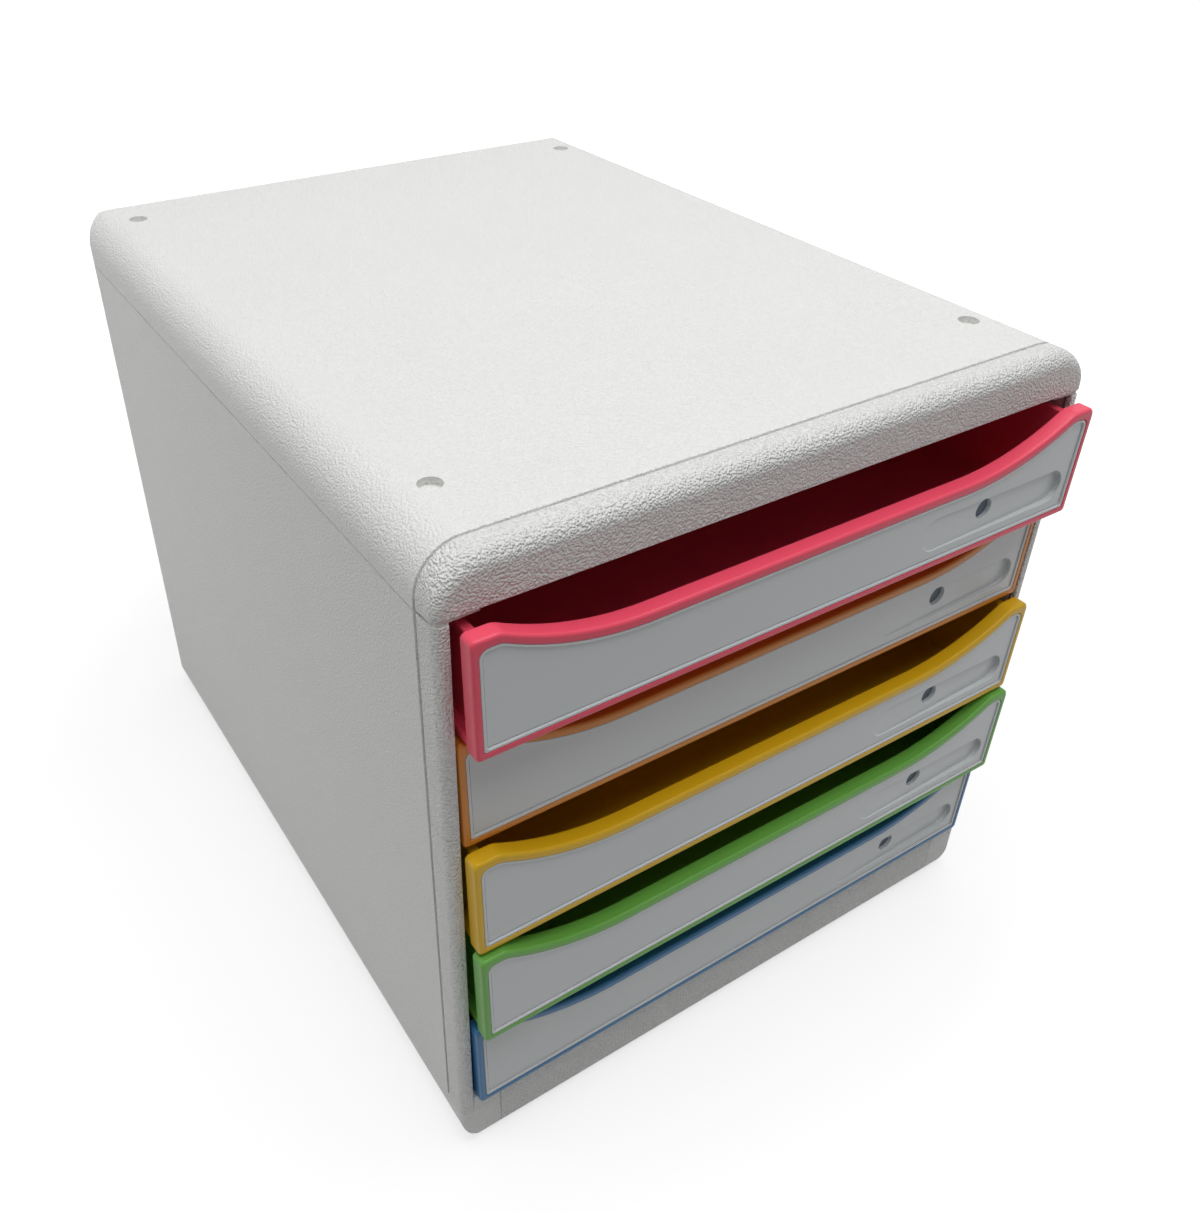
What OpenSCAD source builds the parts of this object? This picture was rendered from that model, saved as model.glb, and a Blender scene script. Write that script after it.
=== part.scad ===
// Desk tower with five shallow drawers. A moulded casing on four small feet holds
// five trays on side ledges. Each tray has a coloured front with a dipped top edge,
// and a pale plate with a ramped slot and a peep hole, over a loose label card.
//
// X runs across, Y from the front to the rear and Z up. The origin lies on the
// standing plane, at the centre of the four feet. Drawers count from the top.

/* [Casing] */
// Width of the casing
case_w = 270; // [250:1:320]
// Depth of the casing, front to rear
case_d = 342; // [300:1:400]
// Height of the sill below the lowest drawer
sill_h = 27.2; // [22:0.1:40]
// Height of the head above the highest drawer's bay
head_h = 18.3; // [17:0.1:30]
// Gap between the sill and the lowest front
sill_gap = 0.7; // [0.5:0.1:2]
// Gap between the highest front and the bezel over it
head_gap = 1.9; // [1.6:0.1:3]
// Thickness of the casing's walls
wall = 2.2; // [1.8:0.1:2.8]
// Radius of the two top shoulders
shoulder_r = 16; // [10:0.5:16]
// Radius of the two bottom edges along the sides
base_r = 13; // [8:0.5:16]
// Radius of the upright rear edges
rear_r = 16; // [8:0.5:20]
// Radius of the top and bottom rear edges
rear_edge_r = 4; // [3.5:0.5:8]
// Radius of the nose along the top front edge
nose_r = 6; // [4:0.5:8]
// Radius of the bottom front edge
sill_r = 2.6; // [1.5:0.1:6]
// Radius of the upright front edges
stile_r = 3; // [2.9:0.1:4]

/* [Front frame and seams] */
// Width of each stile beside the drawers
stile_w = 4.9; // [4.5:0.1:7]
// Distance of the groove's middle behind the front
groove_inset = 11.2; // [10:0.1:16]
// Width of the groove
groove_w = 1.2; // [0.6:0.1:2]
// Depth of the groove, which is also the outer leaf's thickness at each lap
groove_depth = 1; // [0.8:0.1:1.2]
// Length of the tongues under the laps
lap_l = 3.2; // [2:0.1:4]
// Clearance between a tongue and the leaf over it
lap_gap = 0.15; // [0.1:0.05:0.3]
// Width of the seams where two mouldings butt
seam = 0.25; // [0.1:0.05:0.5]
// Drop of the side seam below the opening's top
side_seam_fall = 2.8; // [2:0.1:6]
// Drop of the slanting bezel joint, at the groove, below the opening's top
bezel_joint_fall = 1.7; // [1:0.1:1.8]
// Height of the joint partway up each stile, above the casing's underside
stile_joint_h = 167; // [100:1:200]
// Drop of the joint at each stile's foot below the opening's foot
stile_foot_fall = 8.4; // [6:0.1:10]
// Width of the strip that each side panel turns onto the front, base and rear
corner_w = 16.5; // [14:0.5:24]
// Height of the strip that the base turns up at the rear
base_lip_h = 12; // [9:0.5:20]
// Drop of each stile's top below the opening's top
stile_top_fall = 2.1; // [1.9:0.1:2.6]
// How far the neck between a stile and the bezel stands back
neck_inset = 0.6; // [0.3:0.1:1]
// Length of the tab that each neck turns in under the bezel
tab_l = 9.8; // [5:0.1:16]
// Thickness of the tab
tab_t = 1; // [0.8:0.1:1.2]

/* [Feet and stacking sockets] */
// Diameter of each foot
foot_d = 7.4; // [6:0.1:9]
// Height of each foot
foot_h = 3; // [2:0.1:5]
// Diameter of the spigot that holds each foot in the base
spigot_d = 4; // [2.5:0.1:5]
// Height of the spigot above the foot
spigot_h = 3.6; // [3:0.1:6]
// Clearance around the spigot and, in the stacking sockets, around a foot
foot_gap = 0.3; // [0.1:0.05:0.5]
// Depth of each stacking socket
socket_depth = 2.6; // [1.5:0.1:4]
// Thickness of the cup around each socket
socket_wall = 2; // [1:0.1:3]
// Distance of the feet from the base panel's long edges
foot_edge_gap = 0.9; // [0.5:0.1:20]
// Distance of the front feet from the front
foot_front_inset = 39.4; // [25:0.1:60]
// Distance of the rear feet from the rear
foot_rear_inset = 24.1; // [20:0.1:60]

/* [Runners] */
// Clearance beside each front, at its foot
front_side_gap = 1.2; // [0.9:0.1:2]
// How far the runner panels stand back from the opening's edges
runner_setback = 0.3; // [0:0.1:1]
// Width of each ledge
ledge_w = 10.9; // [8:0.1:14]
// Thickness of each ledge
ledge_t = 1.6; // [1.2:0.1:1.6]
// Running clearance under and around a tray
run_gap = 0.3; // [0.2:0.05:0.5]
// Width of the skid along each side of a tray
skid_w = 3.6; // [2:0.1:3.9]
// Height of the skids
skid_h = 3; // [1.8:0.1:4]
// Clearance between a skid and the stop over it
stop_lift = 0.6; // [0.4:0.1:1]
// Height of the stops on the runner panels
stop_h = 8; // [5:0.1:14]
// Length of each stop, and of each tab that meets one, along the drawer's way
stop_l = 4; // [2:0.1:8]
// Clearance between a stop and the tray's side
stop_clear = 1.7; // [1.6:0.1:2]
// How far a drawer opens before its tabs meet the stops
travel = 250; // [100:1:250]

/* [Drawers] */
// Distance from one drawer to the next
drawer_pitch = 44.5; // [40:0.1:60]
// Gap between one front and the next
front_gap = 1.1; // [0.6:0.1:2]
// How much wider each side of a front is at its top than at its foot
front_draft = 0.7; // [0:0.1:0.8]
// Depth of a front, from its face to the back of its plate
front_t = 6.5; // [5.5:0.1:9]
// Thickness of the plate at the back of a front
back_t = 2; // [1.2:0.1:2.4]
// Depth of the dip in the top edge
dip_h = 13.3; // [8:0.1:18]
// Radius of the two arcs of the dip
dip_r = 110; // [80:1:140]
// Width of the level shoulder beside the dip
dip_shoulder = 9.9; // [6:0.1:20]
// Radius of a front's two top corners
front_corner_r = 2; // [1:0.1:3]
// Radius of a tray's rear corners
tray_corner_r = 8; // [4:0.5:12]
// Distance between a tray's side and its runner panel
tray_side_gap = 5.9; // [5:0.1:7]
// Distance between the casing's rear and a closed tray
tray_rear_gap = 14; // [8:0.5:30]
// Distance between a tray's rim and the foot of the front above it
tray_head_gap = 4.5; // [4.5:0.1:14]
// How far a tray's floor lies above the foot of its front
floor_lift = 1.4; // [1.2:0.1:1.6]
// Thickness of a tray's walls and floor
tray_t = 1.8; // [1.2:0.1:2.4]
// Width and thickness of the bead round a tray's rim
bead = 1.5; // [1:0.1:1.6]
// How far each drawer stands open at rest, from the top down
rest_out = [10.3, 0, 7, 9.3, 3.7]; // [0:0.1:40]

/* [Plates and cards] */
// Width of the coloured border at a plate's sides
border_side = 2.4; // [2:0.1:4]
// Width of the coloured border below a plate
border_foot = 2.6; // [2:0.1:4]
// Width of the coloured border above a plate
border_top = 3.3; // [2:0.1:5]
// Clearance round a plate
plate_gap = 0.15; // [0.1:0.05:0.3]
// How far the plate's rim lies behind the front
plate_sink = 0.3; // [0:0.1:0.6]
// Width of the rim round a plate
rim_w = 1.1; // [0.8:0.1:2]
// How far the plate's face lies behind its rim
rim_h = 0.5; // [0.2:0.1:0.8]
// Thickness of a plate and of its skirt
plate_t = 1.6; // [1.2:0.1:1.8]
// Radius of a plate's two top corners
plate_corner_r = 3.5; // [2:0.1:5]
// Length of the slot
slot_l = 73.5; // [60:0.5:90]
// Distance of the slot's deep end from the side of the front
slot_end_gap = 6.4; // [6:0.1:12]
// Width of the slot, up and down
slot_w = 13.3; // [10:0.1:13.5]
// Height of the slot's middle above the foot of the front
slot_z = 14; // [13:0.1:14.5]
// Depth of the slot at its deep end
slot_depth = 2.2; // [1.2:0.1:2.2]
// Diameter of the peep hole
hole_d = 8; // [4:0.1:9]
// Distance of the peep hole from the slot's shallow end
hole_along = 32; // [20:0.5:50]
// Height of the peep hole above the foot of the front
hole_z = 15.5; // [12:0.1:16]
// Thickness of a label card
card_t = 0.5; // [0.3:0.1:0.5]
// Width of a label card
card_w = 78; // [60:1:100]
// Clearance on both faces of a card
card_gap = 0.1; // [0.05:0.05:0.2]
// Clearance at the edges of a card
card_edge_gap = 0.7; // [0.3:0.1:1.5]

/* [Hidden] */
$fn = 96;
case_colour = [0.87, 0.87, 0.85];
runner_colour = [0.80, 0.80, 0.78];
plate_colour = [0.80, 0.83, 0.85];
card_colour = [0.42, 0.46, 0.50];
foot_colour = [0.72, 0.72, 0.70];
front_colours = [
    [0.86, 0.28, 0.38], [0.80, 0.50, 0.24], [0.84, 0.68, 0.10],
    [0.42, 0.66, 0.30], [0.22, 0.42, 0.62]
];
drawer_count = len(front_colours);
DRAWERS = [for (i = [1:drawer_count]) i];

// Room that a cutting block takes past what it cuts
over = 1;

// Least radius left where a wall is thicker than the radius of its outer edge
least_r = 0.3;

// Casing
case_h = sill_h + drawer_count * drawer_pitch + head_h;
side_x = case_w / 2;
corner_x = side_x - corner_w;
foot_pitch_x = 2 * (corner_x - foot_edge_gap - foot_d / 2);
foot_pitch_y = case_d - foot_front_inset - foot_rear_inset;
front_y = -foot_pitch_y / 2 - foot_front_inset;
rear_y = front_y + case_d;
base_z = foot_h;
top_z = base_z + case_h;
mid_leaf = groove_depth + lap_gap;

// Opening and seams
front_h = drawer_pitch - front_gap;
open_x = side_x - stile_w;
open_z0 = base_z + sill_h - sill_gap;
open_z1 = bay_z(1) + front_h + head_gap;
groove_y0 = front_y + groove_inset - groove_w / 2;
groove_y1 = groove_y0 + groove_w;
frame_lap_y = groove_y0 - lap_l - seam;
side_seam_z = open_z1 - side_seam_fall;
stile_joint_z = base_z + stile_joint_h;
stile_top_z = open_z1 - stile_top_fall;
stile_foot_z = open_z0 - stile_foot_fall;
base_lip_z = base_z + base_lip_h;

// Runners and trays
runner_x = open_x + runner_setback;
runner_top_z = open_z1 - seam - tab_t;
tray_x = runner_x - tray_side_gap;
tray_l = case_d - tray_rear_gap;
tray_h = drawer_pitch - tray_head_gap;
tab_y0 = tray_l - tray_corner_r - stop_l;
stop_x = tray_x + stop_clear;
stop_tab_x = runner_x - stop_clear;
stop_z0 = floor_lift + skid_h + stop_lift;

// Fronts, plates and cards, in a drawer's own frame
front_foot_x = open_x - front_side_gap;
front_top_x = front_foot_x + front_draft;
dip_half = front_top_x - dip_shoulder;
dip_flat = dip_half - sqrt(dip_r * dip_r - pow(dip_r - dip_h, 2));
pocket_y = front_t - back_t;
face_y = plate_sink + rim_h;
plate_side = border_side + plate_gap;
plate_foot = border_foot + plate_gap;
plate_top = border_top + plate_gap;
skirt = plate_t + plate_gap;
slot_x1 = front_foot_x - slot_end_gap;
slot_x0 = slot_x1 - slot_l;
card_y1 = pocket_y - card_gap;
card_y0 = card_y1 - card_t;
card_x1 = front_foot_x - plate_side - skirt - card_edge_gap;
card_z0 = plate_foot + skirt + card_edge_gap;
card_z1 = front_h - dip_h - plate_top - skirt - card_edge_gap;

// Radii of an outline drawn in by inset
function drawn_in(radii, inset) = [for (r = radii) max(r - inset, least_r)];

// Height of a bay's foot, counted from the top bay
function bay_z(i) = base_z + sill_h + (drawer_count - i) * drawer_pitch;

// ---------- helpers ----------

// Extrudes an outline in X and Z from y0 to y1
module along_y(y0, y1) {
    translate([0, y1, 0]) rotate([90, 0, 0]) linear_extrude(y1 - y0) children();
}

// Extrudes an outline in Y and Z from x0 to x1
module along_x(x0, x1) {
    translate([x0, 0, 0]) rotate([90, 0, 90]) linear_extrude(x1 - x0) children();
}

// Extrudes an outline in X and Y from z0 to z1
module along_z(z0, z1) {
    translate([0, 0, z0]) linear_extrude(z1 - z0) children();
}

// Block between two values on each axis
module block(x, y, z) {
    translate([x[0], y[0], z[0]]) cube([x[1] - x[0], y[1] - y[0], z[1] - z[0]]);
}

module mirrored_to(side) {
    if (side < 0) mirror([1, 0, 0]) children();
    else children();
}

// Waste outside a rounded corner that points to the lower left
module corner_waste(r) {
    difference() {
        translate([-over, -over]) square(r + over);
        translate([r, r]) circle(r);
    }
}

// Rectangle with its radii given anticlockwise from the lower left corner
module round_rect(x, y, r) {
    difference() {
        translate([x[0], y[0]]) square([x[1] - x[0], y[1] - y[0]]);
        translate([x[0], y[0]]) corner_waste(r[0]);
        translate([x[1], y[0]]) rotate(90) corner_waste(r[1]);
        translate([x[1], y[1]]) rotate(180) corner_waste(r[2]);
        translate([x[0], y[1]]) rotate(270) corner_waste(r[3]);
    }
}

// ---------- casing ----------

// Solid form of the casing, shrunk by inset on every side
module case_form(inset) {
    x = [-side_x + inset, side_x - inset];
    y = [front_y + inset, rear_y - inset];
    z = [base_z + inset, top_z - inset];
    across = [base_r, base_r, shoulder_r, shoulder_r];
    plan = [stile_r, stile_r, rear_r, rear_r];
    lengthways = [sill_r, rear_edge_r, rear_edge_r, nose_r];
    intersection() {
        along_y(y[0] - over, y[1] + over) round_rect(x, z, drawn_in(across, inset));
        along_z(z[0] - over, z[1] + over) round_rect(x, y, drawn_in(plan, inset));
        along_x(x[0] - over, x[1] + over) round_rect(y, z, drawn_in(lengthways, inset));
    }
}

// Casing wall between two insets, inside a block
module leaf(outer, inner, x, y, z) {
    intersection() {
        difference() {
            case_form(outer);
            case_form(inner);
        }
        block(x, y, z);
    }
}

module whole_wall(x, y, z) {
    leaf(0, wall, x, y, z);
}

module outer_leaf(x, y, z) {
    leaf(0, groove_depth, x, y, z);
}

module tongue(x, y, z) {
    leaf(mid_leaf, wall, x, y, z);
}

module at_feet(z) {
    for (x = [-1, 1], y = [-1, 1])
        translate([x * foot_pitch_x / 2, y * foot_pitch_y / 2, z]) children();
}

module top_cover() {
    wide = [-side_x - over, side_x + over];
    socket_d = foot_d + 2 * foot_gap;
    skirt_z = side_seam_z + seam;
    lap_z = skirt_z + lap_l + seam;
    color(case_colour) difference() {
        union() {
            whole_wall(wide, [groove_y1, rear_y + over], [lap_z, top_z + over]);
            outer_leaf(wide, [groove_y1, rear_y + over], [skirt_z, lap_z]);
            tongue(wide, [groove_y0 - lap_l, groove_y1 + over], [lap_z, top_z + over]);
            at_feet(top_z - socket_depth - socket_wall)
                cylinder(d = socket_d + 2 * socket_wall, h = socket_depth + socket_wall - wall / 2);
        }
        at_feet(top_z - socket_depth) cylinder(d = socket_d, h = socket_depth + over);
    }
}

// One side panel, turned onto the base, the rear and the foot of the front
module side_panel(side) {
    edge_x = corner_x + seam / 2;
    lap_x = corner_x + lap_l + seam;
    out_x = side_x + over;
    rear = rear_y + over;
    low = base_z - over;
    color(case_colour) mirrored_to(side) {
        whole_wall([lap_x, out_x], [groove_y1, rear], [low, side_seam_z]);
        outer_leaf([edge_x, lap_x], [groove_y1, rear], [low, side_seam_z]);
        tongue([lap_x, out_x], [groove_y1, rear], [side_seam_z - over, side_seam_z + lap_l]);
        tongue([lap_x, out_x], [groove_y0 - lap_l, groove_y1 + over],
               [stile_foot_z - over, side_seam_z]);
        corner_foot(edge_x, out_x);
    }
}

// Foot of the front frame on one side, below the stile and beside the sill
module corner_foot(x0, x1) {
    y = [front_y - over, groove_y1 + over];
    z0 = base_z - over;
    whole_wall([x0, x1], y, [z0, stile_foot_z]);
    whole_wall([x0, open_x], y, [z0, open_z0]);
    block([x0, open_x], [front_y + wall / 2, frame_lap_y], [open_z0 - wall, open_z0]);
}

module base_panel() {
    half = corner_x - seam / 2;
    y = [groove_y0 + seam, rear_y + over];
    low = base_z - over;
    lap_z = base_lip_z - lap_l - seam;
    color(case_colour) difference() {
        union() {
            whole_wall([-half, half], y, [low, lap_z]);
            outer_leaf([-half, half], y, [lap_z - over, base_lip_z]);
            tongue([-half - lap_l, half + lap_l], [groove_y1 + over + seam, y[1]], [low, lap_z]);
            tongue([-half, half], [groove_y0 - lap_l, groove_y1 + over], [low, base_z + wall]);
        }
        at_feet(base_z - over) cylinder(d = spigot_d + 2 * foot_gap, h = wall + 2 * over);
    }
}

module back_panel() {
    half = corner_x - seam / 2;
    y = [rear_y - rear_r, rear_y + over];
    color(case_colour) {
        whole_wall([-half, half], y, [base_lip_z + seam, side_seam_z]);
        tongue([-half - lap_l, half + lap_l], y, [base_lip_z + seam, side_seam_z]);
        tongue([-half, half], y, [side_seam_z - over, side_seam_z + lap_l]);
        tongue([-half, half], y, [base_lip_z - lap_l, base_lip_z + seam + over]);
    }
}

// Outline in Y and Z of all that lies above the slanting bezel joint
module above_bezel_joint() {
    slope = bezel_joint_fall / (groove_y0 - front_y);
    y = [front_y - over, groove_y1];
    polygon([
        [y[0], open_z1 + slope * over], [y[1], open_z1 - slope * (y[1] - front_y)],
        [y[1], top_z + over], [y[0], top_z + over]
    ]);
}

module top_bezel() {
    wide = [-side_x - over, side_x + over];
    color(case_colour) difference() {
        union() {
            intersection() {
                whole_wall(wide, [front_y - over, groove_y0], [side_seam_z, top_z + over]);
                along_x(wide[0], wide[1]) above_bezel_joint();
            }
            block([-open_x, open_x], [front_y + wall / 2, frame_lap_y], [open_z1, open_z1 + wall]);
        }
        block([-open_x, open_x], [front_y - over, groove_y1], [side_seam_z - over, open_z1]);
        intersection() {
            case_form(groove_depth);
            block([-side_x, side_x], [frame_lap_y, groove_y1], [side_seam_z - over, top_z]);
        }
    }
}

module bottom_bezel() {
    half = corner_x - seam / 2;
    low = base_z - over;
    color(case_colour) {
        whole_wall([-half, half], [front_y - over, frame_lap_y], [low, open_z0]);
        outer_leaf([-half, half], [front_y - over, groove_y0], [low, base_z + wall]);
        block([-half, half], [front_y + wall / 2, frame_lap_y], [open_z0 - wall, open_z0]);
    }
}

// Length of a stile's L-shaped section, open towards the drawers
module stile(z0, z1) {
    x = [open_x, side_x + over];
    whole_wall(x, [front_y - over, frame_lap_y], [z0, z1]);
    outer_leaf(x, [frame_lap_y - over, groove_y0], [z0, z1]);
}

module stile_lower(side) {
    color(case_colour) mirrored_to(side) stile(stile_foot_z + seam, stile_joint_z - seam / 2);
}

module stile_upper(side) {
    neck_x = [open_x, side_x + over];
    neck_z = [stile_top_z - over, top_z];
    tab_x = [open_x - tab_l, open_x + wall];
    tab_y = [front_y + neck_inset, front_y + front_t];
    color(case_colour) mirrored_to(side) difference() {
        union() {
            stile(stile_joint_z + seam / 2, stile_top_z);
            leaf(neck_inset, wall, neck_x, [front_y, frame_lap_y], neck_z);
            block(tab_x, tab_y, [runner_top_z, runner_top_z + tab_t]);
        }
        translate([0, 0, -seam]) along_x(open_x, side_x + over) above_bezel_joint();
    }
}

module feet() {
    color(foot_colour) at_feet(0) {
        cylinder(d = foot_d, h = foot_h);
        cylinder(d = spigot_d, h = foot_h + spigot_h);
    }
}

// ---------- runners ----------

// Inner side wall with a ledge under each tray, one above the highest, and the stops
module runner(side) {
    y0 = front_y + front_t + run_gap;
    y1 = rear_y - rear_r - seam;
    z0 = base_z + base_r + seam;
    z1 = runner_top_z;
    ledge_x = [runner_x - ledge_w, runner_x + over];
    stop_y1 = front_y + tab_y0 - travel - run_gap;
    color(runner_colour) mirrored_to(side) {
        block([runner_x, side_x - wall], [front_y + stile_r + seam, y1], [z0, z1]);
        block(ledge_x, [y0, y1], [z1 - ledge_t, z1]);
        for (i = DRAWERS) {
            ledge_z = bay_z(i) + floor_lift - run_gap;
            stop_z = bay_z(i) + stop_z0;
            block(ledge_x, [y0, y1], [ledge_z - ledge_t, ledge_z]);
            block([stop_x, runner_x + over], [stop_y1 - stop_l, stop_y1], [stop_z, stop_z + stop_h]);
        }
    }
}

// ---------- drawers ----------

// Moves a drawer's piece from its own frame, where the foot of the front's face is
// at the origin, to its bay, as far open as it stands at rest
module in_bay(i) {
    translate([0, front_y - rest_out[i - 1], bay_z(i)]) children();
}

// Outline of a front in X and Z, drawn in by a border at its sides, foot and top
module front_outline(side, foot, top, corner_r) {
    z1 = front_h - top;
    foot_x = front_foot_x - side;
    top_x = front_top_x - side;
    dip_z = z1 - dip_h;
    difference() {
        polygon([[-foot_x, foot], [foot_x, foot], [top_x, z1], [-top_x, z1]]);
        translate([-dip_flat, dip_z]) square([2 * dip_flat, front_h]);
        for (s = [-1, 1]) translate([s * dip_flat, dip_z + dip_r]) circle(dip_r, $fn = 240);
        translate([top_x, z1]) rotate(180) corner_waste(corner_r);
        translate([-top_x, z1]) rotate(270) corner_waste(corner_r);
    }
}

// Plan of a tray behind its front, drawn in by inset
module tray_plan(y0, inset) {
    r = tray_corner_r - inset;
    x = tray_x - inset;
    intersection() {
        round_rect([-x, x], [y0 - 2 * tray_corner_r, tray_l - inset], [r, r, r, r]);
        translate([-x - over, y0]) square([2 * (x + over), tray_l]);
    }
}

module tray(i) {
    color(front_colours[i - 1]) in_bay(i) {
        difference() {
            along_y(0, front_t) front_outline(0, 0, 0, front_corner_r);
            along_y(-over, pocket_y)
                front_outline(border_side, border_foot, border_top, plate_corner_r);
        }
        difference() {
            union() {
                along_z(floor_lift, tray_h) tray_plan(front_t - back_t / 2, 0);
                along_z(tray_h - bead, tray_h) tray_plan(front_t - back_t / 2, -bead);
            }
            along_z(floor_lift + tray_t, tray_h + over) tray_plan(front_t, tray_t);
            above_dip();
        }
        for (s = [-1, 1]) mirrored_to(s) {
            block([tray_x - tray_t / 2, tray_x + skid_w], [front_t - back_t / 2, tab_y0 + stop_l],
                  [floor_lift, floor_lift + skid_h]);
            block([tray_x - tray_t / 2, stop_tab_x], [tab_y0, tab_y0 + stop_l],
                  [floor_lift, stop_z0 + stop_h]);
        }
    }
}

// Room above the dip, cut from the ends of the tray's walls inside the front
module above_dip() {
    along_y(0, front_t) difference() {
        translate([-dip_half, front_h - dip_h]) square([2 * dip_half, front_h]);
        front_outline(0, 0, 0, front_corner_r);
    }
}

// Stadium from slot_x0 to slot_x1 round the slot's middle line, grown by grow
module slot_outline(grow) {
    r = slot_w / 2;
    x0 = slot_x0 + r;
    x1 = slot_x1 - r;
    translate([x0, slot_z - r - grow]) square([x1 - x0, 2 * (r + grow)]);
    for (x = [x0, x1]) translate([x, slot_z]) circle(r + grow);
}

// Slot whose floor runs from the plate's face down to slot_depth at its far end
module ramped_slot() {
    intersection() {
        along_y(face_y - over, face_y + slot_depth) slot_outline(0);
        along_z(0, front_h) polygon([
            [slot_x0, face_y - over], [slot_x0, face_y],
            [slot_x1, face_y + slot_depth], [slot_x1 + over, face_y + slot_depth],
            [slot_x1 + over, face_y - over]
        ]);
    }
}

// Plate's own outline, drawn in by inset
module plate_outline(inset) {
    front_outline(plate_side + inset, plate_foot + inset, plate_top + inset, plate_corner_r - inset);
}

module front_plate(i) {
    color(plate_colour) in_bay(i) difference() {
        union() {
            difference() {
                along_y(plate_sink, pocket_y - plate_gap) plate_outline(0);
                along_y(plate_sink - over, face_y) plate_outline(rim_w);
                along_y(face_y + plate_t, pocket_y) plate_outline(skirt);
            }
            intersection() {
                along_y(face_y + plate_t / 2, card_y0 - card_gap) slot_outline(plate_t);
                along_y(0, pocket_y) plate_outline(0);
            }
        }
        ramped_slot();
        along_y(0, pocket_y) translate([slot_x0 + hole_along, hole_z]) circle(d = hole_d);
    }
}

module label_card(i) {
    color(card_colour) in_bay(i)
        block([card_x1 - card_w, card_x1], [card_y0, card_y1], [card_z0, card_z1]);
}

top_cover();
side_panel(-1);  // left_side_panel
side_panel(1);  // right_side_panel
base_panel();
back_panel();
top_bezel();
bottom_bezel();
stile_upper(-1);  // left_stile_upper
stile_lower(-1);  // left_stile_lower
stile_upper(1);  // right_stile_upper
stile_lower(1);  // right_stile_lower
runner(-1);  // left_runner
runner(1);  // right_runner
feet();
for (i = DRAWERS) {
    tray(i);
    front_plate(i);
    label_card(i);
}
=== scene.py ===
"""Plastic drawer tower: its looks, built round the packed CAD model."""

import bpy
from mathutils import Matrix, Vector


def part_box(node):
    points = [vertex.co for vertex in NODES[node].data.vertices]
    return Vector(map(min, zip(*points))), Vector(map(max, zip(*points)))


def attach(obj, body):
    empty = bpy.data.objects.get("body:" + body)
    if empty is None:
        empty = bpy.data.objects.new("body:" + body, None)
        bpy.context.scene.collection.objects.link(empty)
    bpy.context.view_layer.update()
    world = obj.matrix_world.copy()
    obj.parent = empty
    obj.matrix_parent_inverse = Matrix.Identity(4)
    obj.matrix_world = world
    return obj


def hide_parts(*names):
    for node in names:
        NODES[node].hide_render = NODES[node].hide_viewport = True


bl_info = {
    "name": "Plastic drawer tower",
    "version": (1, 0, 0),
    "blender": (4, 5, 0),
    "location": "3D View > Sidebar > Drawer tower",
    "description": "Builds the moulded pieces of a five-drawer tower and the studio round them",
    "category": "Add Mesh",
}

import math

import bmesh
import bpy
from bpy.props import FloatProperty, FloatVectorProperty, PointerProperty
from mathutils import Euler, Matrix, Vector

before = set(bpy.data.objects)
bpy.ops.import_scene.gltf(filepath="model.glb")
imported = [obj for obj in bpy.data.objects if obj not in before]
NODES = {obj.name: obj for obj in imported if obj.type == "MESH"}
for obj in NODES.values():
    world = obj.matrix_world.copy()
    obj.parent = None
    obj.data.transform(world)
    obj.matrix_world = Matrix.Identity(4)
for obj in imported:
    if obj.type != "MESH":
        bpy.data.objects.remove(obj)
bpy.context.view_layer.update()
CASING_BODY = "casing"
DRAWERS = (1, 2, 3, 4, 5)
FRONT_COLOURS = ("pink", "orange", "yellow", "green", "blue")

MM = 0.001
Y, Z = 1, 2  # the axes' places in a vector
WHITE = (1, 1, 1, 1)

# Tolerances
WELD = 2e-6  # points this near to each other are one
CUT_REACH = WELD / 10  # points this near to a cut lie on it
SAME_PLACE = 5 * WELD  # points this near to a plane lie in it
PARALLEL = 0.999  # least cosine between an edge and the axis it runs along
FLAT_ANGLE = math.radians(0.4)  # faces that bend less than this are one
CORNER_ANGLE = math.radians(35)  # edges that bend more than this are rounded
SHARP_ANGLE = math.radians(50)  # edges that bend more than this are shaded as sharp

# Fine details
CASING_GRAIN = 0.8 * MM  # width of a cell of the casing's grain
MOTTLING = 0.02  # how far a plastic's colour strays to either side
PATCH_SCALE = 18.0  # patches of a plastic's mottling in a metre
GLOSS_SPREAD = (-0.03, 0.05)  # change of roughness at a grain cell's middle and at its border
LONG_EDGE = 2 * MM  # edges of the CAD pieces longer than this are rounded
SPARE_ROOM = 0.1 * MM  # how much longer than the radius their neighbours have to be
STEP_WIDTH = 0.4 * MM  # width of the steps in the bar's underside, beside the opening
TRAY_CUT = 0.02 * MM  # from a front's back to the place where its tray is cut off
TRAY_OVERLAP = 0.5 * MM  # how far the tray's walls are then drawn forward, into the front
EDGE_SHARE = 0.45  # the most that the slot's edge or its fillet takes of its depth

# Steps round the curves
SHOULDER_STEPS = 20
NOSE_STEPS = 10
DIP_STEPS = 16
CORNER_STEPS = 6
FOOT_STEPS = 4
LIP_STEPS = 5
RIM_STEPS = 4
BACK_STEPS = 3
EDGE_STEPS = 2
SLOT_END_STEPS = 28
SLOT_SIDE_STEPS = 14
HOLE_STEPS = 48
EDGE_TURNS = [math.radians(a) for a in (22.5, 45, 67.5, 90)]
FILLET_TURNS = [math.radians(a) for a in (0, 30, 60, 90)]


def colour_property(name, description, default):
    return FloatVectorProperty(
        name=name, description=description, default=default, subtype="COLOR", size=3, min=0, max=1
    )


def length_property(name, description, millimetres):
    return FloatProperty(
        name=name, description=description, default=millimetres * MM,
        min=0, subtype="DISTANCE", unit="LENGTH",
    )


def place_property(name, description, default):
    return FloatVectorProperty(
        name=name, description=description, default=default,
        size=3, subtype="TRANSLATION", unit="LENGTH",
    )


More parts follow.
